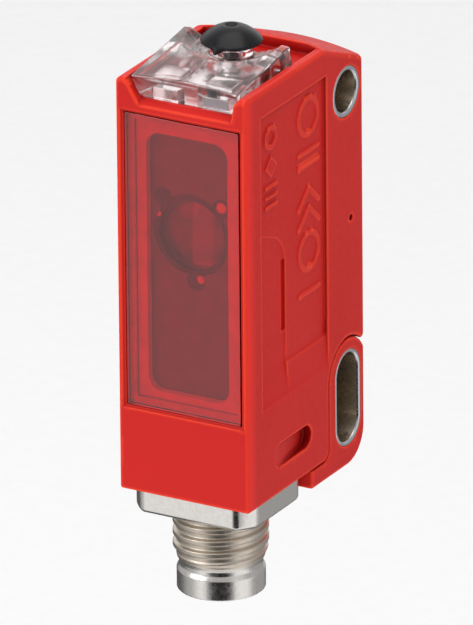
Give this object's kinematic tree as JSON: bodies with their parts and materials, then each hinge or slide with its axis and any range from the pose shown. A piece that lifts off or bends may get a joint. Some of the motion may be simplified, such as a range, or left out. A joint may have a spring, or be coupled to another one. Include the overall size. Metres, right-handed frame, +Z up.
{
  "type": "photoelectric sensor",
  "caption": "Compact cubic photoelectric sensor with a tinted front window, metal-lined mounting bores, push button on top and a round screw-in plug connector below.",
  "frame": {"origin": "centre of the upper mounting bore, halfway across the sensor's width", "axes": "+X along the mounting bores to the right of someone who faces the light window; the light window faces -Y; +Z up, away from the plug connector"},
  "size_m": [0.0114, 0.0184, 0.0456],
  "materials": {
    "red_housing": "satin moulded, fine grain",
    "nickel_sleeve": "nickel-plated, satin",
    "window_tint": "dark red, polished",
    "bezel_red": "smooth",
    "seal_rubber": "matt",
    "optics_black": "matt",
    "lens_clear": "polished",
    "filter_film": "polished film",
    "splitter_glass": "half-silvered",
    "led_package": "moulded",
    "board_green": "solder mask",
    "board_red": "red solder mask",
    "chip_black": "moulded package",
    "shield_tin": "tinned",
    "capacitor_tan": "sintered",
    "resistor_black": "sintered",
    "led_green": "diffuse, unlit",
    "led_yellow": "diffuse, unlit",
    "guide_clear": "polished",
    "stem_natural": "moulded",
    "button_black": "satin",
    "cover_clear": "polished, slightly frosted",
    "nickel_shell": "nickel-plated brass, satin turned",
    "insert_black": "moulded",
    "contact_gold": "gold-plated"
  },
  "bodies": {
    "sensor": {"housing": "red_housing", "mounting_foot": "red_housing", "upper_sleeve": "nickel_sleeve", "slot_sleeve": "nickel_sleeve", "front_window": "window_tint", "window_gasket": "seal_rubber", "inner_bezel": "bezel_red", "optics_carrier": "optics_black", "main_lens": "lens_clear", "lens_retainer": "optics_black", "polarising_filter": "filter_film", "beam_splitter": "splitter_glass", "emitter_led": "led_package", "emitter_board": "board_green", "light_receiver": "chip_black", "receiver_shield": "shield_tin", "receiver_board": "board_green", "main_board": "board_green", "signal_chip": "chip_black", "output_driver": "chip_black", "board_capacitors": "capacitor_tan", "board_resistors": "resistor_black", "indicator_board": "board_red", "status_led_green": "led_green", "status_led_yellow": "led_yellow", "light_guides": "guide_clear", "tact_switch": "chip_black", "button_seal": "seal_rubber", "indicator_cover": "cover_clear", "cover_seal": "seal_rubber", "connector_shell": "nickel_shell", "connector_seal": "seal_rubber", "contact_carrier": "insert_black", "contact_pins": "contact_gold", "connector_board": "board_green"},
    "button": {"teach_button": "button_black"},
    "plunger": {"switch_stem": "stem_natural"}
  },
  "joints": [
    {"name": "button_press", "type": "slide", "parent": "sensor", "child": "button", "axis": [0, 0, -1], "range_m": [0, 0.0003], "stiffness_N_per_m": 800},
    {"name": "stem_press", "type": "slide", "parent": "sensor", "child": "plunger", "axis": [0, 0, -1], "range_m": [0, 0.0003]}
  ],
  "couplings": [
    {"joint": "stem_press", "follows": "button_press", "ratio": 1}
  ]
}
